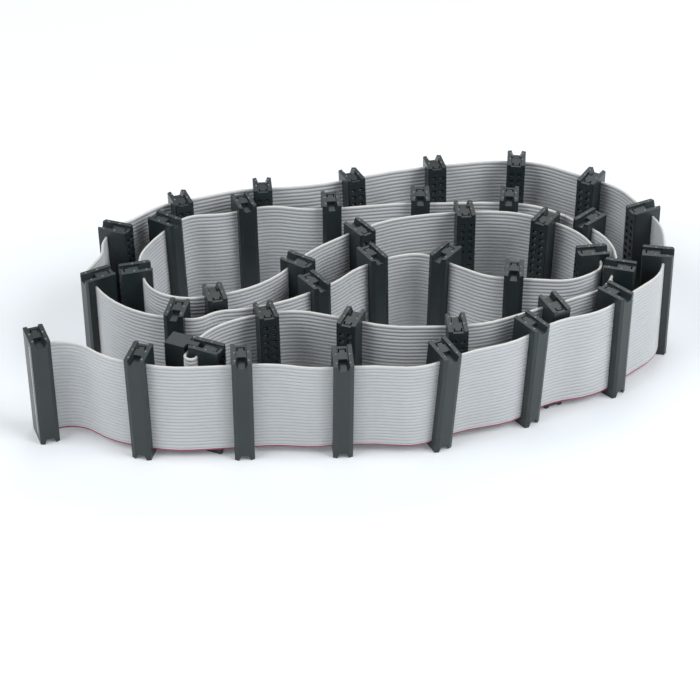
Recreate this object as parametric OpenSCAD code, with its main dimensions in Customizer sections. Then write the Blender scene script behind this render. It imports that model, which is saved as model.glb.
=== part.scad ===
// Daisy-chain ribbon cable: one flat grey cable with a socket connector crimped on
// every 30 mm or so, standing on edge in a loose double spiral that leans here and there.
// Each connector is a socket body, a cover that clamps the cable against it, and
// two columns of contacts. X is to the right, Y to the back, Z up, in millimetres.

/* [Cable] */
// Number of conductors side by side in the cable
conductors = 26; // [10:2:40]
// Distance between neighbouring conductors
conductor_pitch = 1.27; // [1.2:0.01:1.27]
// Thickness of the cable over its insulation
cable_t = 0.9; // [0.7:0.05:1]

/* [Connector] */
// Width of a connector along the cable
connector_w = 6.1; // [5.8:0.1:6.4]
// Thickness of the cover outside the cable
cover_t = 2.7; // [2.6:0.1:3]
// Depth of the socket body from the cable to the mating face
socket_t = 6.4; // [6.2:0.1:7]
// Wall between the cable's edge and the end face of a connector
end_wall = 2.45; // [2.4:0.05:2.7]
// Bevel along the socket's long corners
corner_bevel = 0.3; // [0.1:0.05:0.4]
// Width of the sloped border along each side of the cover's outer face
border_w = 1.15; // [0.4:0.05:1.2]
// Drop of the sloped border
border_drop = 0.5; // [0.2:0.05:0.6]

/* [Contact holes] */
// Distance between the two columns of contacts, and between their rows
contact_pitch = 2.54; // [2.4:0.01:2.54]
// Width of a contact hole
hole_w = 1.3; // [1.2:0.1:1.5]
// Height of a contact hole
hole_h = 1; // [0.8:0.1:1.2]
// Drop of the bevelled sill at a hole's mouth
sill_drop = 0.3; // [0.2:0.05:0.3]
// Depth of the sill
sill_depth = 0.5; // [0.3:0.1:0.7]
// Width of a contact
contact_w = 1; // [0.6:0.1:1.1]
// Thickness of a contact
contact_t = 0.25; // [0.15:0.05:0.3]

/* [Ears] */
// Depth of the notch between a pair of ears, below the end face
notch_depth = 1.8; // [1.5:0.1:1.9]
// Length of the notch from the cover's outer face to its inner wall in the latch leg
notch_l = 4.35; // [3.9:0.05:4.6]
// Width of the notch's floor at the cover's outer face
notch_floor_w = 2.2; // [1.8:0.1:2.4]
// Widening of the notch from its floor up to the end face
notch_flare = 1.4; // [0.8:0.1:1.4]
// Narrowing of the notch from the outer face to its inner wall
notch_taper = 0.5; // [0.3:0.1:0.8]

/* [Latch] */
// Width of the cover's latch leg
leg_w = 3.3; // [3.2:0.05:3.4]
// Thickness of the latch leg
leg_t = 1.55; // [1.45:0.05:1.6]
// Length of the latch leg from the cable to its shoulders
leg_l = 3.75; // [3.5:0.05:3.9]
// Depth of the leg's outer side and its channel below the end face
channel_depth = 0.65; // [0.55:0.05:0.7]
// Length of the tongue past the leg's shoulders
tongue_l = 1.2; // [0.8:0.1:1.3]
// Width of the tongue and its hook
tongue_w = 1.7; // [1.4:0.1:1.8]
// Gap around the tongue in its window
window_gap = 0.4; // [0.3:0.05:0.45]
// Length of the ledge that the hook grips
ledge_l = 1.8; // [1.6:0.1:2]
// How far the hook reaches below the leg
hook_h = 0.3; // [0.2:0.05:0.3]

/* [Strain relief] */
// Depth of the strain relief behind the last connector's cover
relief_t = 6.5; // [5:0.5:7]
// Drop of its ends below the connector's end faces
relief_drop = 0.4; // [0.2:0.1:0.6]
// Width of its arms, which lie between the cover's ears
arm_w = 2; // [1.6:0.1:2]
// Length of the arms past the cover's outer face
arm_l = 2.5; // [1:0.5:3]

/* [Hidden] */
// Upper edge of the cable in the order it runs. Each row is x, y, heading, 1 where a
// connector sits or 0 where the cable only bends, and its lean to the right there.
route = [
    [-98, -42, 21, 1, 0],
    [-68, -51, -15, 1, 2],
    [-37, -52, 5, 1, 3],
    [-7, -53, 5, 1, 6.5],
    [24, -49, 30, 1, 6],
    [51, -35, 40, 1, 3],
    [78, -18.5, 45, 1, 0],
    [94, 4, 80, 1, -1],
    [92, 31, 115, 1, -1],
    [76, 51, 150, 1, 0],
    [51, 62, 175, 1, 1.5],
    [23, 59, 190, 1, 5.5],
    [-5, 51, 200, 1, 7.5],
    [-34, 45, 185, 1, 5.5],
    [-61, 37, 200, 1, 4],
    [-75, 27, 225, 0, 2.5],
    [-82, 19, 250, 1, 1],
    [-84.5, 4, 245, 0, 0.5],
    [-85, -9, 300, 1, 0],
    [-58, -28, 350, 1, -1],
    [-42, -24, 5, 0, -1],
    [-15, -13, 35, 1, -1.5],
    [3, 2, 30, 1, -2],
    [24, 3, -35, 1, -1.5],
    [46, -7, -5, 1, -2],
    [67.5, -6, 30, 0, -0.5],
    [73.5, 5.5, 100, 1, 1],
    [59, 26, 150, 1, 2.5],
    [32, 31, 185, 1, 2.5],
    [-3, 20, 215, 1, 1.5],
    [-23, 1, 235, 1, 1],
    [-47, -16, 195, 1, 1],
    [-70, -4, 105, 1, 0],
    [-63, 22, 55, 1, -2],
    [-39, 32, 20, 1, -2.5],
    [-11, 33, 5, 1, -1.5],
    [18, 36, 0, 1, -2.5],
    [47, 36, -5, 1, -2],
    [71, 23, -45, 1, -1],
    [77.5, -2.5, -105, 1, 0],
    [56.5, -21.5, 205, 1, -2],
    [27, -32, 185, 1, 0],
    [-4, -29, 160, 1, 0.5],
    [-31, -26, 195, 1, 4],
    [-52.7, -43.5, 247, 1, 0],
];
// Shift that puts the middle of the whole footprint on the origin
route_shift = [2.6, -4.4];

stations = [for (row = route) if (row[3] == 1) row];
connectors = len(stations);

cable_w = conductors * conductor_pitch;
rows = conductors / 2;
end_z = cable_w / 2 + end_wall;
cable_y = cable_t / 2;
cover_y = cable_y + cover_t;
mating_y = cable_y + socket_t;
half_w = connector_w / 2;
// Step from the cable's way behind the last cover to its way through the connector
fold = cover_y + cable_y;
// Free play around the cable's edges and the latch leg
play = 0.15;
leg_play = 0.05;
leg_z = end_z - channel_depth;
shoulder_y = cable_y + leg_l;
tongue_y = shoulder_y + tongue_l;
contact_l = 5.7;
// How far cutting tools run past the faces they cut
over = 1;
// Largest turn between two neighbouring points of the cable's upper edge
arc_step = 12;

plastic = "#34383b";
insulation = "#c4c7cb";
metal = "#b9bcc0";

// Connectors share the cover and contact nodes in groups of this many
group = 5;
groups = floor(connectors / group);
function group_first(g) = g * group + 1;
function group_last(g) = g == groups - 1 ? connectors : (g + 1) * group;
function two(n) = n < 10 ? str("0", n) : str(n);
function single_name(kind, n) = str(kind, "_", two(n));
function group_name(kind, g) = str(kind, "_", two(group_first(g)), "_", two(group_last(g)));

// Plan geometry of the route: every gap is two arcs that meet with one tangent.
function ahead(a) = [cos(a), sin(a)];
function leftward(a) = [-sin(a), cos(a)];
function turn(p, a, q) = 2 * atan2(leftward(a) * (q - p), ahead(a) * (q - p));
function tangent_length(v, t, k) =
    k < 0.000001 ? v * v / (2 * v * t) : (sqrt((v * t) * (v * t) + k * (v * v)) - v * t) / k;
function meeting(p, a, q, b) =
    let (v = q - p)
    let (t = ahead(a) + ahead(b))
    let (d = tangent_length(v, t, 2 - 2 * ahead(a) * ahead(b)))
    (p + q + d * (ahead(a) - ahead(b))) / 2;
function place(row) = [row[0], row[1]] + route_shift;
function reach(row) = row[3] * half_w * ahead(row[2]);

// Axes of a leaning place, across the cable to the left and up along it
function across(heading, lean) = concat(cos(lean) * leftward(heading), sin(lean));
function upright(heading, lean) = concat(-sin(lean) * leftward(heading), cos(lean));

// Height of the middle where a connector that leans rests on its lowest edge
function rest_z(lean) = end_z * cos(lean) + (lean > 0 ? cover_y : mating_y) * abs(sin(lean));

// Middle of the cable under a point of its upper edge
function middle(point, heading, lean) =
    concat(point + sin(lean) * cable_w / 2 * leftward(heading), rest_z(lean));

// Share of an arc's whole chord that a part s of its angle spans
function chord_share(angle, s) = abs(angle) < 0.01 ? s : sin(angle * s / 2) / sin(angle / 2);

// Points along the arc that leaves p on heading a and ends at q, each with its heading
// and its lean, which runs evenly between the leans at the two ends
function arc_points(p, a, q, leans) =
    let (angle = turn(p, a, q))
    let (steps = max(1, ceil(abs(angle) / arc_step)))
    [for (i = [0 : steps - 1])
        let (s = i / steps)
        let (point = p + norm(q - p) * chord_share(angle, s) * ahead(a + angle * s / 2))
        [point, a + angle * s, leans[0] + (leans[1] - leans[0]) * s]];

function gap_points(row, next) =
    let (p = place(row) + reach(row))
    let (q = place(next) - reach(next))
    let (m = meeting(p, row[2], q, next[2]))
    let (m_lean = (row[4] + next[4]) / 2)
    concat(
        arc_points(p, row[2], m, [row[4], m_lean]),
        arc_points(m, row[2] + turn(p, row[2], m), q, [m_lean, next[4]])
    );

function entry_points(row) = row[3] == 1 ? [[place(row) - reach(row), row[2], row[4]]] : [];

// Fold round the last cover and back through its connector
function fold_points(row) =
    let (p = place(row) + reach(row))
    let (q = p + fold * leftward(row[2]))
    let (tip = place(row) - reach(row) + fold * leftward(row[2]))
    concat(arc_points(p, row[2], q, [0, 0]), [[q, row[2] + 180, 0], [tip, row[2] + 180, 0]]);

upper_edge = concat(
    [for (i = [0 : len(route) - 2]) each concat(entry_points(route[i]), gap_points(route[i], route[i + 1]))],
    entry_points(route[len(route) - 1]),
    fold_points(route[len(route) - 1])
);

// Corners of the cable's section at a place, in order round it
function section(c) = [
    for (corner = [[-1, -1], [1, -1], [1, 1], [-1, 1]])
        middle(c[0], c[1], c[2])
        + corner[0] * cable_y * across(c[1], c[2])
        + corner[1] * cable_w / 2 * upright(c[1], c[2])
];

// Flat cable swept through its sections
module ribbon() {
    starts = [0 : 4 : 4 * (len(upper_edge) - 2)];
    end = 4 * (len(upper_edge) - 1);
    color(insulation)
        polyhedron(
            points = [for (c = upper_edge) each section(c)],
            faces = concat(
                [[0, 1, 2, 3], [end + 3, end + 2, end + 1, end]],
                [for (a = starts, k = [0 : 3]) [a + k, a + 4 + k, a + (k + 1) % 4]],
                [for (a = starts, k = [0 : 3]) [a + (k + 1) % 4, a + 4 + k, a + 4 + (k + 1) % 4]]
            )
        );
}

// Moves a connector's pieces to its place. In their own frame X runs along the
// cable, Y points out of the mating face and Z = 0 is at mid height. The last
// connector stands off by the fold.
module at_connector(n) {
    row = stations[n - 1];
    translate(middle(place(row), row[2], row[4]))
        rotate([row[4], 0, row[2]])
            translate([0, n == connectors ? fold : 0, 0])
                children();
}

module both_ends() {
    for (end = [0, 1])
        mirror([0, 0, end])
            children();
}

// Prism across the connector, drawn as [y, z] points
module side_prism(points, width) {
    rotate([90, 0, 90])
        linear_extrude(height = width, center = true)
            polygon(points);
}

function row_z(i) = (i - (rows - 1) / 2) * contact_pitch;
function column_x(side) = side * contact_pitch / 2;

// Contact hole in profile: a straight way with a bevelled sill at its mouth
module hole_profile() {
    polygon([
        [cable_y - over, -hole_h / 2],
        [mating_y - sill_depth, -hole_h / 2],
        [mating_y, -hole_h / 2 - sill_drop],
        [mating_y + over, -hole_h / 2 - sill_drop],
        [mating_y + over, hole_h / 2],
        [cable_y - over, hole_h / 2],
    ]);
}

// Two columns of contact holes
module contact_holes() {
    for (side = [-1, 1])
        translate([column_x(side), 0, 0])
            rotate([90, 0, 90])
                linear_extrude(height = hole_w, center = true)
                    for (i = [0 : rows - 1])
                        translate([0, row_z(i)])
                            hole_profile();
}

// Channel for the latch leg, the slot that seats it and the window for its tongue
module latch_recess() {
    space_w = leg_w + 2 * leg_play;
    window_w = tongue_w + 2 * window_gap;
    window_z = leg_z - leg_t - hook_h - leg_play;
    translate([-space_w / 2, cable_y - over, leg_z])
        cube([space_w, mating_y - cable_y + 2 * over, channel_depth + over]);
    translate([-space_w / 2, cable_y - over, leg_z - leg_t - leg_play])
        cube([space_w, leg_l + leg_play + over, leg_t + leg_play + over]);
    translate([-window_w / 2, cable_y + ledge_l, window_z])
        cube([window_w, tongue_y + window_gap - cable_y - ledge_l, end_z + over - window_z]);
}

// Socket body with its contact holes and the latch recess at each end
module socket_body() {
    difference() {
        linear_extrude(height = 2 * end_z, center = true)
            polygon([
                [-half_w, cable_y],
                [half_w, cable_y],
                [half_w, mating_y - corner_bevel],
                [half_w - corner_bevel, mating_y],
                [corner_bevel - half_w, mating_y],
                [-half_w, mating_y - corner_bevel],
            ]);
        contact_holes();
        both_ends() latch_recess();
    }
}

// Latch leg with a narrower tongue, whose hook drops behind the socket's ledge
module latch_leg() {
    hook_y = cable_y + ledge_l + leg_play;
    leg_base = leg_z - leg_t;
    side_prism([
        [-cable_y, leg_z],
        [-cable_y, leg_base],
        [shoulder_y, leg_base],
        [shoulder_y, leg_z],
    ], leg_w);
    side_prism([
        [hook_y, leg_z],
        [hook_y, leg_base - hook_h],
        [tongue_y - hook_h, leg_base - hook_h],
        [tongue_y, leg_base],
        [tongue_y, leg_z],
    ], tongue_w);
}

// Half the width of the ear notch at a place, which flares outwards and upwards
function notch_reach(y, z) =
    notch_floor_w / 2 + notch_flare / 2 * (z - end_z + notch_depth) / notch_depth
    - notch_taper / 2 * (y + cover_y) / notch_l;

// Flared notch that leaves a pair of ears at one end of the cover
module ear_notch() {
    outer = -cover_y - over;
    inner = notch_l - cover_y;
    low = end_z - notch_depth;
    high = end_z + over / 2;
    polyhedron(
        points = [
            for (y = [outer, inner], z = [low, high], side = [-1, 1])
                [side * notch_reach(y, z), y, z]
        ],
        faces = [
            [0, 2, 3, 1],
            [4, 5, 7, 6],
            [0, 1, 5, 4],
            [2, 6, 7, 3],
            [0, 4, 6, 2],
            [1, 3, 7, 5],
        ]
    );
}

// Cover's plain body, with the channel that the cable lies in
module cover_block() {
    difference() {
        linear_extrude(height = 2 * end_z, center = true)
            polygon([
                [-half_w, cable_y],
                [half_w, cable_y],
                [half_w, border_drop - cover_y],
                [half_w - border_w, -cover_y],
                [border_w - half_w, -cover_y],
                [-half_w, border_drop - cover_y],
            ]);
        translate([-half_w - over, -cable_y, -cable_w / 2 - play])
            cube([connector_w + 2 * over, cable_t + over, cable_w + 2 * play]);
    }
}

// Cover that clamps the cable, with a pair of ears and a latch leg at each end
module cover_body() {
    difference() {
        union() {
            cover_block();
            both_ends() latch_leg();
        }
        both_ends() ear_notch();
    }
}

// Bar that clamps the folded cable against the last cover, with an arm at each end
module relief_body() {
    clamp_y = -cover_y - cable_t;
    relief_z = end_z - relief_drop;
    arm_z = end_z - notch_depth + leg_play;
    translate([-half_w, clamp_y - relief_t, -relief_z])
        cube([connector_w, relief_t, 2 * relief_z]);
    both_ends()
        translate([-arm_w / 2, clamp_y - over, arm_z])
            cube([arm_w, over + cable_t + arm_l, relief_z - arm_z]);
}

// Contact: a leaf along the floor of its hole, from the cable almost to the mouth
module contact() {
    translate([-contact_w / 2, cable_y, -hole_h / 2])
        cube([contact_w, contact_l, contact_t]);
}

module socket(n) {
    color(plastic)
        at_connector(n) socket_body();
}

module covers(first, last) {
    color(plastic)
        for (n = [first : last])
            at_connector(n) cover_body();
}

module strain_relief() {
    color(plastic)
        at_connector(connectors) relief_body();
}

module contacts(first, last) {
    color(metal)
        for (n = [first : last])
            at_connector(n)
                for (i = [0 : rows - 1])
                    for (side = [-1, 1])
                        translate([column_x(side), 0, row_z(i)])
                            contact();
}

ribbon();
strain_relief();
for (n = [1 : connectors])
    socket(n);
for (g = [0 : groups - 1])
    covers(group_first(g), group_last(g));
for (g = [0 : groups - 1])
    contacts(group_first(g), group_last(g));
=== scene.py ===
"""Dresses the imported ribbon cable: a ridged grey cable with a red edge conductor, satin black
sockets, covers and strain relief, tinned contacts, and a plain pale studio."""

import math

import bmesh
import bpy
from bpy.props import FloatProperty, FloatVectorProperty, IntProperty, PointerProperty
from bpy.types import Operator, Panel, PropertyGroup
from mathutils import Matrix, Vector


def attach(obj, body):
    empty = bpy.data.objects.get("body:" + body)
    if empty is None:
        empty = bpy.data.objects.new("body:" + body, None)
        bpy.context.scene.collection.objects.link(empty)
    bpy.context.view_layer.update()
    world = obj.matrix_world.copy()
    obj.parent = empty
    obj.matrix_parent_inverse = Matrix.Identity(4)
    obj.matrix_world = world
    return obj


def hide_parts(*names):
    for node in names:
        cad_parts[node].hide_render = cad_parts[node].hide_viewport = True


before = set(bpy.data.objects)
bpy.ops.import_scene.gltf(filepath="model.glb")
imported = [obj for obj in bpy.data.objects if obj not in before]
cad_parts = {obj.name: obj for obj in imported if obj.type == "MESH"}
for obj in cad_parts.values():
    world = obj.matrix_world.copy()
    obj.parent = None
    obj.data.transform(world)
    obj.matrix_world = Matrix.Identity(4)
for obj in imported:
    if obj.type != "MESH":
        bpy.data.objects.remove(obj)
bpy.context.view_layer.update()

bl_info = {
    "name": "Ribbon Cable",
    "version": (1, 0, 0),
    "blender": (4, 5, 0),
    "location": "3D Viewport > Sidebar > Ribbon Cable",
    "description": "Builds and dresses a ribbon cable with socket connectors along it",
    "category": "Add Mesh",
}

SOCKETS = sorted(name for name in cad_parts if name.startswith("socket_"))
COVERS = sorted(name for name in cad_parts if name.startswith("covers_"))
CONTACTS = sorted(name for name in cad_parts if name.startswith("contacts_"))
STRAIN_RELIEF = "strain_relief"

BODY = "root"
INSULATION = "Vinyl insulation"
EDGE_CONDUCTOR = "Red edge conductor"
CUT_VINYL_AND_PAINTED_HIGHLIGHT = "Cut vinyl"
HOUSING = "Black moulded housing"
TINNED = "Tinned contact"
COPPER = "Copper strand"
LIGHT_GREY_PIP = "Stress-whitened pip"
FLOOR = "Pale studio floor"

# Upper edge of the cable in the order it runs: x and y in metres, heading in degrees,
# whether a connector sits there, and the lean to the right in degrees.
ROUTE = (
    (-0.098, -0.042, 21, True, 0),
    (-0.068, -0.051, -15, True, 2),
    (-0.037, -0.052, 5, True, 3),
    (-0.007, -0.053, 5, True, 6.5),
    (0.024, -0.049, 30, True, 6),
    (0.051, -0.035, 40, True, 3),
    (0.078, -0.0185, 45, True, 0),
    (0.094, 0.004, 80, True, -1),
    (0.092, 0.031, 115, True, -1),
    (0.076, 0.051, 150, True, 0),
    (0.051, 0.062, 175, True, 1.5),
    (0.023, 0.059, 190, True, 5.5),
    (-0.005, 0.051, 200, True, 7.5),
    (-0.034, 0.045, 185, True, 5.5),
    (-0.061, 0.037, 200, True, 4),
    (-0.075, 0.027, 225, False, 2.5),
    (-0.082, 0.019, 250, True, 1),
    (-0.0845, 0.004, 245, False, 0.5),
    (-0.085, -0.009, 300, True, 0),
    (-0.058, -0.028, 350, True, -1),
    (-0.042, -0.024, 5, False, -1),
    (-0.015, -0.013, 35, True, -1.5),
    (0.003, 0.002, 30, True, -2),
    (0.024, 0.003, -35, True, -1.5),
    (0.046, -0.007, -5, True, -2),
    (0.0675, -0.006, 30, False, -0.5),
    (0.0735, 0.0055, 100, True, 1),
    (0.059, 0.026, 150, True, 2.5),
    (0.032, 0.031, 185, True, 2.5),
    (-0.003, 0.02, 215, True, 1.5),
    (-0.023, 0.001, 235, True, 1),
    (-0.047, -0.016, 195, True, 1),
    (-0.07, -0.004, 105, True, 0),
    (-0.063, 0.022, 55, True, -2),
    (-0.039, 0.032, 20, True, -2.5),
    (-0.011, 0.033, 5, True, -1.5),
    (0.018, 0.036, 0, True, -2.5),
    (0.047, 0.036, -5, True, -2),
    (0.071, 0.023, -45, True, -1),
    (0.0775, -0.0025, -105, True, 0),
    (0.0565, -0.0215, 205, True, -2),
    (0.027, -0.032, 185, True, 0),
    (-0.004, -0.029, 160, True, 0.5),
    (-0.031, -0.026, 195, True, 4),
    (-0.0527, -0.0435, 247, True, 0),
)
# Moves the whole route so that its footprint is centred
ROUTE_SHIFT = Vector((0.0026, -0.0044))
# Half of a connector's width along the cable, and of a socket's height
HALF_CONNECTOR = 0.00305
HALF_SOCKET = 0.01896
# How far a connector reaches to each side of the cable's middle
COVER_REACH = 0.00315
MATING_REACH = 0.00685
# Half of the cable's width, and how far its folded end lies beside it
HALF_CABLE = 0.01651
FOLD = 0.0036
# Most degrees that the cable turns between two of its sections
ARC_STEP = 8
# Degrees below which a stretch counts as straight
STRAIGHT = 0.01
# Heights over a conductor, in pitches from its middle, with their shares of its half thickness
BUMP = ((-0.34, 0.66), (-0.17, 0.97), (0.17, 0.97), (0.34, 0.66))
# Strips of the lowest conductor, from the edge up, that the red stripe covers
STRIPE_LEVELS = 3
# Strips of the uppermost conductor, from the edge down, that take the pale cut vinyl as a painted highlight
PAINTED_HIGHLIGHT_LEVELS = 1
# Places of the crush pips on an end face: across the connector, and out from the cable's middle
PIP_ACROSS = (-0.00205, 0.00205)
PIP_OUT = (-0.00115, 0.00265)

# Range in which the mottle of a surface mostly stays
MOTTLE_LOW = 0.3
MOTTLE_HIGH = 0.7
# Share of the pitch from a conductor's middle at which its groove begins, and is at its deepest
GROOVE_START = 0.26
GROOVE_END = 0.48
# Depths of the grain in moulded and extruded plastic, and in drawn metal
PLASTIC_GRAIN = 0.00002
METAL_GRAIN = 0.00001

SOFTBOX_SIZE = 0.9
RIGHT_SOFTBOX = Vector((0.98, -0.42, 0.95))
LEFT_SOFTBOX = Vector((-0.9, -0.4, 0.95))
BACK_SOFTBOX = Vector((0.2, 0.9, 1.0))
DAYLIGHT = (0.97, 0.985, 1.0)


def length_property(name, description, default):
    """A length in metres for the sidebar."""
    return FloatProperty(
        name=name, description=description, default=default, min=0, precision=5, unit="LENGTH"
    )


def power_property(name, description, default):
    """A lamp's power in watts for the sidebar."""
    return FloatProperty(name=name, description=description, default=default, min=0, unit="POWER")


def colour_property(name, description, default):
    """A linear colour for the sidebar."""
    return FloatVectorProperty(
        name=name, description=description, default=default, size=3, min=0, max=1, subtype="COLOR"
    )


class CableSettings(PropertyGroup):
    conductors: IntProperty(
        name="Conductors", description="Conductors side by side in the cable", default=26, min=2, max=64
    )
    thickness: length_property("Thickness", "Thickness over a conductor's ridge", 0.0009)
    web: length_property("Web", "Thickness of the web between two conductors", 0.0004)
    strand_radius: length_property("Strand radius", "Radius of a bare conductor at a cut end", 0.0002)
    strand_proud: length_property("Strand proud", "How far a bare conductor stands out of a cut end", 0.00004)
    insulation: colour_property("Insulation", "Colour of the vinyl insulation", (0.605, 0.635, 0.66))
    # This cut colour is also painted along the upper edge as a highlight
    cut: colour_property("Cut", "Colour of the vinyl where it is cut", (0.82, 0.825, 0.78))
    edge: colour_property("Edge", "Colour of the marked edge conductor", (0.36, 0.03, 0.09))
    copper: colour_property("Copper", "Colour of the bare conductors", (0.80, 0.42, 0.26))


class ConnectorSettings(PropertyGroup):
    housing: colour_property("Housing", "Colour of the sockets and covers", (0.016, 0.025, 0.027))
    # The crush pips are given a lighter grey than the housing
    pip: colour_property("Pip", "Colour of the crush pips, whitened by the press", (0.2, 0.21, 0.21))
    contact: colour_property("Contact", "Colour of the tinned contacts", (0.66, 0.65, 0.62))
    edge_radius: length_property("Edge radius", "Softening of the housings' moulded edges", 0.00012)
    pip_radius: length_property("Pip radius", "Radius of the crush pips on the end faces", 0.00032)
    pip_height: length_property("Pip height", "Height of the crush pips", 0.00022)


class StageSettings(PropertyGroup):
    floor_size: length_property("Floor size", "Side of the square floor", 6.0)
    floor: colour_property("Floor", "Colour of the floor", (0.86, 0.865, 0.88))
    floor_seen: colour_property("Floor seen", "Colour of the floor in the camera's view", (0.86, 0.905, 0.94))
    floor_glow: FloatProperty(
        name="Floor glow", description="Light that the floor adds in the camera's view", default=0.1, min=0
    )
    camera_pitch: FloatProperty(
        name="Camera pitch",
        description="How far the camera looks down",
        default=math.radians(36.5),
        subtype="ANGLE",
    )
    camera_height: length_property("Camera height", "Height of the camera over the floor", 0.42495)
    camera_setback: length_property("Camera setback", "How far in front of the origin it stands", 0.5754)
    camera_side: FloatProperty(
        name="Camera side", description="Sideways place of the camera", default=-0.0024, unit="LENGTH"
    )
    lens: FloatProperty(name="Lens", description="Focal length on a 36 mm sensor, in mm", default=113.1)
    right_power: power_property("Right power", "Power of the softbox on the right", 14.2)
    left_power: power_property("Left power", "Power of the softbox on the left", 10.8)
    back_power: power_property("Back power", "Power of the softbox behind", 4.7)
    sky: FloatProperty(name="Sky", description="Strength of the white surroundings", default=0.19)


# ---------------------------------------------------------------- the cable's line


def ahead(degrees):
    """Unit vector along a heading."""
    angle = math.radians(degrees)
    return Vector((math.cos(angle), math.sin(angle)))


def leftward(degrees):
    """Unit vector to the left of a heading."""
    angle = math.radians(degrees)
    return Vector((-math.sin(angle), math.cos(angle)))


def turn(start, heading, end):
    """Degrees that an arc turns through from start, on a heading, to end."""
    step = end - start
    return 2 * math.degrees(math.atan2(leftward(heading).dot(step), ahead(heading).dot(step)))


def meeting(start, heading, end, end_heading):
    """Point where the two arcs of a gap meet with one tangent."""
    step = end - start
    both = ahead(heading) + ahead(end_heading)
    bend = 2 - 2 * ahead(heading).dot(ahead(end_heading))
    along = step.dot(both)
    parallel = bend < 1e-6
    if parallel:
        tangent = step.dot(step) / (2 * along)
    else:
        tangent = (math.sqrt(along * along + bend * step.dot(step)) - along) / bend
    return (start + end + tangent * (ahead(heading) - ahead(end_heading))) / 2


def arc_points(start, heading, end, leans):
    """Points with headings and leans along an arc, without its last point."""
    angle = turn(start, heading, end)
    chord = (end - start).length
    steps = max(1, math.ceil(abs(angle) / ARC_STEP))
    points = []
    for i in range(steps):
        part = angle * i / steps
        share = i / steps
        lean = leans[0] + (leans[1] - leans[0]) * share
        if abs(angle) >= STRAIGHT:
            share = math.sin(math.radians(part / 2)) / math.sin(math.radians(angle / 2))
        points.append((start + chord * share * ahead(heading + part / 2), heading + part, lean))
    return points


def route_place(row):
    """A row's point in the part's frame."""
    return Vector(row[:2]) + ROUTE_SHIFT


def route_reach(row):
    """From a row's point to the side of its connector, or nothing where there is none."""
    return HALF_CONNECTOR * ahead(row[2]) if row[3] else Vector((0, 0))


def leaning(point, heading, lean):
    """Axes of the cable at a point of its upper edge: ahead, to the left and up, from its middle."""
    tilt = math.radians(lean)
    left = leftward(heading)
    # A connector that leans stands on the lower corner of its cover or of its mating face
    outer = COVER_REACH if lean > 0 else MATING_REACH
    rest = HALF_SOCKET * math.cos(tilt) + outer * abs(math.sin(tilt))
    middle = point + HALF_CABLE * math.sin(tilt) * left
    place = Matrix((
        (*ahead(heading), 0, 0),
        (*(left * math.cos(tilt)), math.sin(tilt), 0),
        (*(-left * math.sin(tilt)), math.cos(tilt), 0),
        (*middle, rest, 1),
    ))
    return place.transposed()


def cable_places():
    """Places of the cable's section, from its first end to the end that is folded back."""
    line = []
    for row, following in zip(ROUTE, ROUTE[1:]):
        start = route_place(row) + route_reach(row)
        end = route_place(following) - route_reach(following)
        middle = meeting(start, row[2], end, following[2])
        lean = (row[4] + following[4]) / 2
        if row[3]:
            line.append((route_place(row) - route_reach(row), row[2], row[4]))
        line += arc_points(start, row[2], middle, (row[4], lean))
        line += arc_points(middle, row[2] + turn(start, row[2], middle), end, (lean, following[4]))
    last = ROUTE[-1]
    aside = FOLD * leftward(last[2])
    enter = route_place(last) - route_reach(last)
    leave = route_place(last) + route_reach(last)
    line.append((enter, last[2], last[4]))
    line += arc_points(leave, last[2], leave + aside, (last[4], last[4]))
    line.append((leave + aside, last[2] + 180, last[4]))
    line.append((enter + aside, last[2] + 180, last[4]))
    return [leaning(*stop) for stop in line]


# ---------------------------------------------------------------- meshes


def piece_from_bmesh(name, mesh, slot, *materials):
    """Turns a bmesh into a piece that rides on the object."""
    data = bpy.data.meshes.new(name)
    mesh.to_mesh(data)
    mesh.free()
    for material in materials:
        data.materials.append(bpy.data.materials[material])
    piece = bpy.data.objects.new(name, data)
    bpy.context.scene.collection.objects.link(piece)
    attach(piece, BODY)
    return piece


def cable_levels(settings):
    """Heights across the cable with its half thickness at each: a bump for each conductor."""
    pitch = 2 * HALF_CABLE / settings.conductors
    ridge = settings.thickness / 2
    web = settings.web / 2
    levels = [(-HALF_CABLE, web / 2)]
    for i in range(settings.conductors):
        centre = (i + 0.5) * pitch - HALF_CABLE
        levels += [(centre + offset * pitch, share * ridge) for offset, share in BUMP]
        last = i == settings.conductors - 1
        levels.append((centre + pitch / 2, web / 2 if last else web))
    return levels


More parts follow.
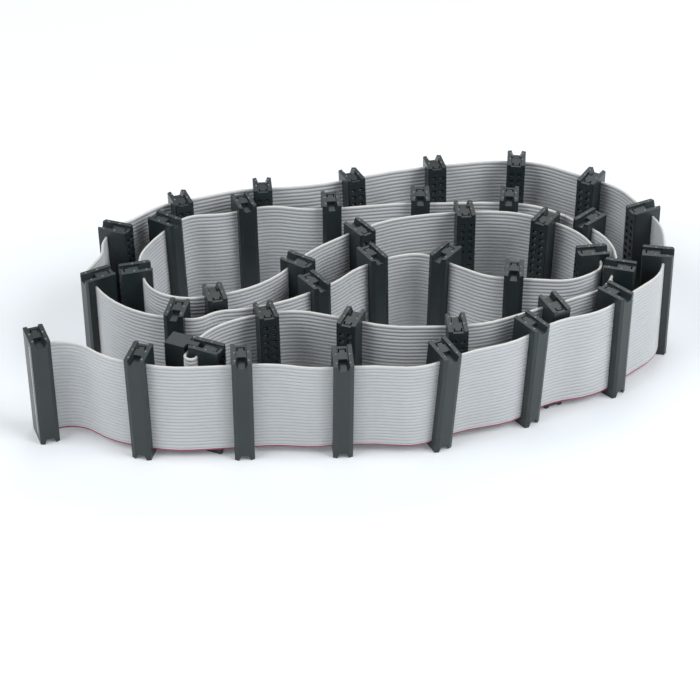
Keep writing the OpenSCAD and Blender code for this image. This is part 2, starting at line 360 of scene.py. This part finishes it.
def cable_mesh(settings, places):
    """Sweeps the ridged section along its places, with a cut face at each end.

    Material 0 is the insulation, 1 the marked edge conductor, and 2 the cut vinyl of both ends,
    which also gives the upper edge a painted highlight. The UV map runs along the cable and up across it, in
    metres."""
    mesh = bmesh.new()
    levels = cable_levels(settings)
    run = [0.0]
    for place, following in zip(places, places[1:]):
        run.append(run[-1] + (following.translation - place.translation).length)
    rings = []
    for place in places:
        left = [mesh.verts.new(place @ Vector((0, half, z))) for z, half in levels]
        right = [mesh.verts.new(place @ Vector((0, -half, z))) for z, half in levels]
        rings.append((left, right))
    uv = mesh.loops.layers.uv.new("Along and across")

    def face(corners, spots, material, smooth=True):
        made = mesh.faces.new(corners)
        made.material_index = material
        made.smooth = smooth
        for loop, (i, j) in zip(made.loops, spots):
            loop[uv].uv = (run[i], levels[j][0] + HALF_CABLE)

    top = len(levels) - 1
    for i, ((left, right), (next_left, next_right)) in enumerate(zip(rings, rings[1:])):
        for j in range(top):
            # The lowest strips take the red stripe, and the uppermost ones the pale cut vinyl as a painted
            # highlight
            material = 1 if j < STRIPE_LEVELS else 2 if j >= top - PAINTED_HIGHLIGHT_LEVELS else 0
            spots = ((i, j), (i, j + 1), (i + 1, j + 1), (i + 1, j))
            face((left[j], left[j + 1], next_left[j + 1], next_left[j]), spots, material)
            spots = (spots[0], *spots[:0:-1])
            face((right[j], next_right[j], next_right[j + 1], right[j + 1]), spots, material)
        spots = ((i, 0), (i + 1, 0), (i + 1, 0), (i, 0))
        face((left[0], next_left[0], next_right[0], right[0]), spots, 1)
        # The flat upper edge also takes the pale cut vinyl as a painted highlight
        spots = ((i, top), (i, top), (i + 1, top), (i + 1, top))
        face((left[-1], right[-1], next_right[-1], next_left[-1]), spots, 2)
    for i, flipped in ((0, False), (len(rings) - 1, True)):
        left, right = rings[i]
        for j in range(top):
            corners = (left[j], right[j], right[j + 1], left[j + 1])
            spots = ((i, j), (i, j), (i, j + 1), (i, j + 1))
            if flipped:
                corners = corners[::-1]
                spots = spots[::-1]
            face(corners, spots, 2, smooth=False)
    mesh.normal_update()
    return mesh


def dome(mesh, place, radius, height, rings=3, sides=10):
    """A small rounded dome whose base ring lies at the origin of place, with Z outward."""
    circles = []
    for i in range(rings):
        slope = math.pi / 2 * i / rings
        reach = radius * math.cos(slope)
        rise = height * math.sin(slope)
        circles.append([
            mesh.verts.new(place @ Vector((
                reach * math.cos(2 * math.pi * k / sides),
                reach * math.sin(2 * math.pi * k / sides),
                rise,
            )))
            for k in range(sides)
        ])
    top = mesh.verts.new(place @ Vector((0, 0, height)))
    for lower, upper in zip(circles, circles[1:]):
        for k in range(sides):
            mesh.faces.new((lower[k], lower[(k + 1) % sides], upper[(k + 1) % sides], upper[k])).smooth = True
    for k in range(sides):
        mesh.faces.new((circles[-1][k], circles[-1][(k + 1) % sides], top)).smooth = True


def strands_mesh(settings, places):
    """Bare conductors that show at both cut ends of the cable."""
    mesh = bmesh.new()
    pitch = 2 * HALF_CABLE / settings.conductors
    for place, side in ((places[0], -1), (places[-1], 1)):
        facing = place @ Matrix.Rotation(side * math.pi / 2, 4, "Y")
        for i in range(settings.conductors):
            shift = Matrix.Translation((-side * ((i + 0.5) * pitch - HALF_CABLE), 0, 0))
            dome(mesh, facing @ shift, settings.strand_radius, settings.strand_proud, rings=2)
    return mesh


def pips_mesh(settings):
    """Crush pips on both end faces of every connector, on the rails beside the latch leg."""
    mesh = bmesh.new()
    for row in (row for row in ROUTE if row[3]):
        place = leaning(route_place(row), row[2], row[4])
        if row is ROUTE[-1]:
            place = place @ Matrix.Translation((0, FOLD, 0))
        for flip in (0, math.pi):
            end = place @ Matrix.Rotation(flip, 4, "X") @ Matrix.Translation((0, 0, HALF_SOCKET))
            for across in PIP_ACROSS:
                for out in PIP_OUT:
                    spot = Matrix.Translation((across, -out if flip else out, 0))
                    dome(mesh, end @ spot, settings.pip_radius, settings.pip_height)
    return mesh


# ---------------------------------------------------------------- materials


def add_node(tree, kind, **values):
    """Adds a shader node and sets its properties, or its sockets where the name is one."""
    node = tree.nodes.new(kind)
    for name, value in values.items():
        if name in node.inputs:
            node.inputs[name].default_value = value
        else:
            setattr(node, name, value)
    return node


def maths(tree, operation, first, second=None):
    """A maths node on links or numbers, giving its output."""
    node = add_node(tree, "ShaderNodeMath", operation=operation)
    for socket, value in zip(node.inputs, (first, second)):
        if isinstance(value, (int, float)):
            socket.default_value = value
        elif value is not None:
            tree.links.new(value, socket)
    return node.outputs[0]


def new_group(name, inputs, outputs):
    """A shader node group with named sockets, each a name, a type and a default."""
    tree = bpy.data.node_groups.new(name, "ShaderNodeTree")
    for label, kind, default in inputs:
        socket = tree.interface.new_socket(label, in_out="INPUT", socket_type=kind)
        socket.default_value = default
    for label, kind in outputs:
        tree.interface.new_socket(label, in_out="OUTPUT", socket_type=kind)
    return tree, tree.nodes.new("NodeGroupInput"), tree.nodes.new("NodeGroupOutput")


def grain_group():
    """Fine moulded or extruded grain: a height, and a broad mask for tone and gloss."""
    tree, source, result = new_group(
        "Surface grain",
        (("Fine scale", "NodeSocketFloat", 6000.0), ("Broad scale", "NodeSocketFloat", 60.0)),
        (("Height", "NodeSocketFloat"), ("Mottle", "NodeSocketFloat")),
    )
    place = add_node(tree, "ShaderNodeTexCoord")
    fine = add_node(tree, "ShaderNodeTexNoise", Detail=3.0, Roughness=0.6)
    broad = add_node(tree, "ShaderNodeTexNoise", Detail=4.0, Roughness=0.55)
    tree.links.new(place.outputs["Object"], fine.inputs["Vector"])
    tree.links.new(place.outputs["Object"], broad.inputs["Vector"])
    tree.links.new(source.outputs["Fine scale"], fine.inputs["Scale"])
    tree.links.new(source.outputs["Broad scale"], broad.inputs["Scale"])
    tree.links.new(fine.outputs["Fac"], result.inputs["Height"])
    tree.links.new(broad.outputs["Fac"], result.inputs["Mottle"])
    return tree


def grooves_group():
    """Mask that is 1 in the grooves between the conductors and 0 on their ridges."""
    tree, source, result = new_group(
        "Cable grooves", (("Pitch", "NodeSocketFloat", 0.00127),), (("Groove", "NodeSocketFloat"),)
    )
    place = add_node(tree, "ShaderNodeTexCoord")
    split = add_node(tree, "ShaderNodeSeparateXYZ")
    tree.links.new(place.outputs["UV"], split.inputs[0])
    share = maths(tree, "FRACT", maths(tree, "DIVIDE", split.outputs["Y"], source.outputs["Pitch"]))
    distance = maths(tree, "ABSOLUTE", maths(tree, "SUBTRACT", share, 0.5))
    ramp = add_node(tree, "ShaderNodeMapRange", **{"From Min": GROOVE_START, "From Max": GROOVE_END})
    tree.links.new(distance, ramp.inputs["Value"])
    tree.links.new(ramp.outputs["Result"], result.inputs["Groove"])
    return tree


def new_material(name, slot_values):
    """A material with a Principled BSDF and its plain values, giving tree and shader."""
    material = bpy.data.materials.new(name)
    material.use_nodes = True
    tree = material.node_tree
    shader = tree.nodes["Principled BSDF"]
    for socket, value in slot_values.items():
        shader.inputs[socket].default_value = value
    return tree, shader


def place_group(tree, name, **values):
    """A node of a shared group, with values for its sockets, where an underscore is a space."""
    node = tree.nodes.new("ShaderNodeGroup")
    node.node_tree = bpy.data.node_groups[name]
    for socket, value in values.items():
        node.inputs[socket.replace("_", " ")].default_value = value
    return node


def tint(tree, mask, low, high, lows=MOTTLE_LOW, highs=MOTTLE_HIGH):
    """Runs a mask between two colours."""
    ramp = add_node(tree, "ShaderNodeMapRange", **{"From Min": lows, "From Max": highs})
    mix = add_node(tree, "ShaderNodeMix", data_type="RGBA")
    tree.links.new(mask, ramp.inputs["Value"])
    tree.links.new(ramp.outputs["Result"], mix.inputs["Factor"])
    mix.inputs[6].default_value = (*low, 1)
    mix.inputs[7].default_value = (*high, 1)
    return mix.outputs[2]


def spread(tree, mask, low, high, lows=MOTTLE_LOW, highs=MOTTLE_HIGH):
    """Runs a mask between two numbers."""
    ramp = add_node(
        tree, "ShaderNodeMapRange", **{"From Min": lows, "From Max": highs, "To Min": low, "To Max": high}
    )
    tree.links.new(mask, ramp.inputs["Value"])
    return ramp.outputs["Result"]


def shaded(colour, factor):
    """A colour made darker or lighter."""
    return tuple(min(1.0, channel * factor) for channel in colour)


def grain_bump(tree, shader, grain, strength, depth, normal=None):
    """Gives the shader the grain as a shallow bump, on top of a normal if there is one."""
    bump = add_node(tree, "ShaderNodeBump", Strength=strength, Distance=depth)
    tree.links.new(grain.outputs["Height"], bump.inputs["Height"])
    if normal:
        tree.links.new(normal, bump.inputs["Normal"])
    tree.links.new(bump.outputs["Normal"], shader.inputs["Normal"])


def vinyl_material(name, colour, settings):
    """Extruded vinyl with a satin gloss on the ridges and painted shade in the grooves."""
    tree, shader = new_material(name, {"Specular IOR Level": 0.5, "Coat Weight": 0.0, "IOR": 1.5})
    grain = place_group(tree, "Surface grain", Fine_scale=5000.0, Broad_scale=45.0)
    grooves = place_group(tree, "Cable grooves", Pitch=2 * HALF_CABLE / settings.conductors)
    ridge = tint(tree, grain.outputs["Mottle"], shaded(colour, 0.96), shaded(colour, 1.03), 0.35, 0.65)
    # Painted shade: the grooves are mixed towards a darker copy of the colour.
    mix = add_node(tree, "ShaderNodeMix", data_type="RGBA")
    tree.links.new(spread(tree, grooves.outputs["Groove"], 0.0, 0.75, 0.0, 1.0), mix.inputs["Factor"])
    tree.links.new(ridge, mix.inputs[6])
    mix.inputs[7].default_value = (*shaded(colour, 0.75), 1)
    tree.links.new(mix.outputs[2], shader.inputs["Base Color"])
    tree.links.new(spread(tree, grain.outputs["Mottle"], 0.36, 0.48), shader.inputs["Roughness"])
    grain_bump(tree, shader, grain, 0.12, PLASTIC_GRAIN)


def housing_material(name, colour, settings):
    """Black moulded plastic: satin, with soft edges and a fine spark-eroded texture."""
    tree, shader = new_material(name, {"Specular IOR Level": 0.5, "IOR": 1.52})
    grain = place_group(tree, "Surface grain", Fine_scale=7000.0, Broad_scale=70.0)
    tone = tint(tree, grain.outputs["Mottle"], shaded(colour, 0.85), shaded(colour, 1.25))
    tree.links.new(tone, shader.inputs["Base Color"])
    tree.links.new(spread(tree, grain.outputs["Mottle"], 0.30, 0.42), shader.inputs["Roughness"])
    edge = add_node(tree, "ShaderNodeBevel", samples=4, Radius=settings.edge_radius)
    grain_bump(tree, shader, grain, 0.2, PLASTIC_GRAIN, edge.outputs["Normal"])


def metal_material(name, colour, roughness):
    """Thin bright metal with a faint drawn grain."""
    tree, shader = new_material(name, {"Metallic": 1.0})
    grain = place_group(tree, "Surface grain", Fine_scale=9000.0, Broad_scale=300.0)
    tone = tint(tree, grain.outputs["Mottle"], shaded(colour, 0.8), shaded(colour, 1.05))
    tree.links.new(tone, shader.inputs["Base Color"])
    gloss = spread(tree, grain.outputs["Mottle"], roughness - 0.06, roughness + 0.08)
    tree.links.new(gloss, shader.inputs["Roughness"])
    grain_bump(tree, shader, grain, 0.1, METAL_GRAIN)


def floor_material(settings):
    """Pale floor that shows the camera one tone with a glow, and lights the object with another."""
    tree, shader = new_material(FLOOR, {"Roughness": 0.9, "Specular IOR Level": 0.0})
    paths = tree.nodes.new("ShaderNodeLightPath")
    seen = maths(tree, "MAXIMUM", paths.outputs["Is Camera Ray"], paths.outputs["Is Glossy Ray"])
    seen = maths(tree, "MAXIMUM", seen, paths.outputs["Is Transmission Ray"])
    glow = maths(tree, "MULTIPLY", seen, settings.floor_glow)
    mix = add_node(tree, "ShaderNodeMix", data_type="RGBA")
    tree.links.new(seen, mix.inputs["Factor"])
    mix.inputs[6].default_value = (*settings.floor, 1)
    mix.inputs[7].default_value = (*settings.floor_seen, 1)
    tree.links.new(mix.outputs[2], shader.inputs["Base Color"])
    shader.inputs["Emission Color"].default_value = (*settings.floor_seen, 1)
    tree.links.new(glow, shader.inputs["Emission Strength"])


def wear(node_name, material):
    """Gives a carried-over node its material on every slot."""
    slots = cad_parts[node_name].data.materials
    if len(slots) == 0:
        slots.append(None)
    for i in range(len(slots)):
        slots[i] = bpy.data.materials[material]


# ---------------------------------------------------------------- operators


class CABLE_OT_place_camera(Operator):
    """Places the camera in front of the cable, looking down on it"""

    bl_idname = "ribbon_cable.place_camera"
    bl_label = "Place Camera"

    def execute(self, context):
        settings = context.scene.cable_stage
        data = bpy.data.cameras.new("Studio camera")
        data.sensor_width = 36
        data.lens = settings.lens
        data.clip_start = 0.01
        data.clip_end = 20
        camera = bpy.data.objects.new("Studio camera", data)
        camera.location = (settings.camera_side, -settings.camera_setback, settings.camera_height)
        camera.rotation_euler = (math.pi / 2 - settings.camera_pitch, 0, 0)
        context.scene.collection.objects.link(camera)
        context.scene.camera = camera
        return {"FINISHED"}


class CABLE_OT_mix_finishes(Operator):
    """Makes the shared effects and the materials of the cable and connectors"""

    bl_idname = "ribbon_cable.mix_finishes"
    bl_label = "Mix Finishes"

    def execute(self, context):
        cable = context.scene.cable
        connector = context.scene.cable_connector
        grain_group()
        grooves_group()
        vinyl_material(INSULATION, tuple(cable.insulation), cable)
        vinyl_material(EDGE_CONDUCTOR, tuple(cable.edge), cable)
        vinyl_material(CUT_VINYL_AND_PAINTED_HIGHLIGHT, tuple(cable.cut), cable)
        housing_material(HOUSING, tuple(connector.housing), connector)
        housing_material(LIGHT_GREY_PIP, tuple(connector.pip), connector)
        metal_material(TINNED, tuple(connector.contact), 0.3)
        metal_material(COPPER, tuple(cable.copper), 0.28)
        return {"FINISHED"}


class CABLE_OT_build_cable(Operator):
    bl_idname = "ribbon_cable.build_cable"
    bl_label = "Build Cable"

    def execute(self, context):
        settings = context.scene.cable
        places = cable_places()
        mesh = cable_mesh(settings, places)
        piece = piece_from_bmesh("ridged_cable", mesh, "insulation", INSULATION, EDGE_CONDUCTOR, CUT_VINYL_AND_PAINTED_HIGHLIGHT)
        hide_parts("ribbon")
        # The path leaves out the last stretch, which is folded back and clamped.
        strands = piece_from_bmesh("bare_strands", strands_mesh(settings, places), "contact_metal", COPPER)
        strands.parent = piece
        return {"FINISHED"}


class CABLE_OT_dress_connectors(Operator):
    """Finishes the sockets, covers and contacts, and adds the crush pips"""

    bl_idname = "ribbon_cable.dress_connectors"
    bl_label = "Dress Connectors"

    def execute(self, context):
        for name in SOCKETS + COVERS + [STRAIN_RELIEF]:
            wear(name, HOUSING)
        for name in CONTACTS:
            wear(name, TINNED)
        piece_from_bmesh("crush_pips", pips_mesh(context.scene.cable_connector), "housing", LIGHT_GREY_PIP)
        return {"FINISHED"}


class CABLE_OT_light_stage(Operator):
    """Lays the pale floor and hangs the soft lights"""

    bl_idname = "ribbon_cable.light_stage"
    bl_label = "Light Stage"

    def execute(self, context):
        settings = context.scene.cable_stage
        floor_material(settings)
        mesh = bmesh.new()
        bmesh.ops.create_grid(mesh, x_segments=1, y_segments=1, size=settings.floor_size / 2)
        data = bpy.data.meshes.new("Floor")
        mesh.to_mesh(data)
        mesh.free()
        data.materials.append(bpy.data.materials[FLOOR])
        floor = bpy.data.objects.new("Floor", data)
        context.scene.collection.objects.link(floor)
        self.softbox(context, "Right softbox", settings.right_power, RIGHT_SOFTBOX)
        self.softbox(context, "Left softbox", settings.left_power, LEFT_SOFTBOX)
        self.softbox(context, "Back softbox", settings.back_power, BACK_SOFTBOX)
        self.surroundings(context, settings.sky)
        return {"FINISHED"}

    def softbox(self, context, name, power, place):
        """A square lamp that faces the origin."""
        data = bpy.data.lights.new(name, "AREA")
        data.energy = power
        data.size = SOFTBOX_SIZE
        lamp = bpy.data.objects.new(name, data)
        lamp.location = place
        lamp.rotation_euler = (-place).to_track_quat("-Z", "Y").to_euler()
        context.scene.collection.objects.link(lamp)

    def surroundings(self, context, strength):
        """Pale daylight all round, at full white where the camera sees it."""
        world = bpy.data.worlds.new("White surroundings")
        world.use_nodes = True
        context.scene.world = world
        tree = world.node_tree
        background = tree.nodes["Background"]
        background.inputs["Color"].default_value = (*DAYLIGHT, 1)
        paths = tree.nodes.new("ShaderNodeLightPath")
        level = maths(tree, "MULTIPLY", paths.outputs["Is Camera Ray"], 1.0 - strength)
        tree.links.new(maths(tree, "ADD", level, strength), background.inputs["Strength"])


class CABLE_PT_ribbon_cable(Panel):
    """Sizes, colours and steps of the ribbon cable"""

    bl_idname = "CABLE_PT_ribbon_cable"
    bl_label = "Ribbon Cable"
    bl_space_type = "VIEW_3D"
    bl_region_type = "UI"
    bl_category = "Ribbon Cable"

    def draw(self, context):
        layout = self.layout
        for title, settings in (
            ("Cable", context.scene.cable),
            ("Connectors", context.scene.cable_connector),
            ("Stage", context.scene.cable_stage),
        ):
            box = layout.box()
            box.label(text=title)
            for name in settings.__annotations__:
                box.prop(settings, name)
        for operator in STEPS:
            layout.operator(operator.bl_idname)


SETTINGS = (CableSettings, ConnectorSettings, StageSettings)
STEPS = (
    CABLE_OT_place_camera,
    CABLE_OT_mix_finishes,
    CABLE_OT_build_cable,
    CABLE_OT_dress_connectors,
    CABLE_OT_light_stage,
)
CLASSES = SETTINGS + STEPS + (CABLE_PT_ribbon_cable,)


def register():
    for cls in CLASSES:
        bpy.utils.register_class(cls)
    bpy.types.Scene.cable = PointerProperty(type=CableSettings)
    bpy.types.Scene.cable_connector = PointerProperty(type=ConnectorSettings)
    bpy.types.Scene.cable_stage = PointerProperty(type=StageSettings)


def unregister():
    del bpy.types.Scene.cable_stage
    del bpy.types.Scene.cable_connector
    del bpy.types.Scene.cable
    for cls in reversed(CLASSES):
        bpy.utils.unregister_class(cls)


def main():
    register()
    bpy.context.scene.view_settings.view_transform = "Standard"
    bpy.ops.ribbon_cable.place_camera()
    bpy.ops.ribbon_cable.mix_finishes()
    bpy.ops.ribbon_cable.build_cable()
    bpy.ops.ribbon_cable.dress_connectors()
    bpy.ops.ribbon_cable.light_stage()


if __name__ == "__main__":
    main()
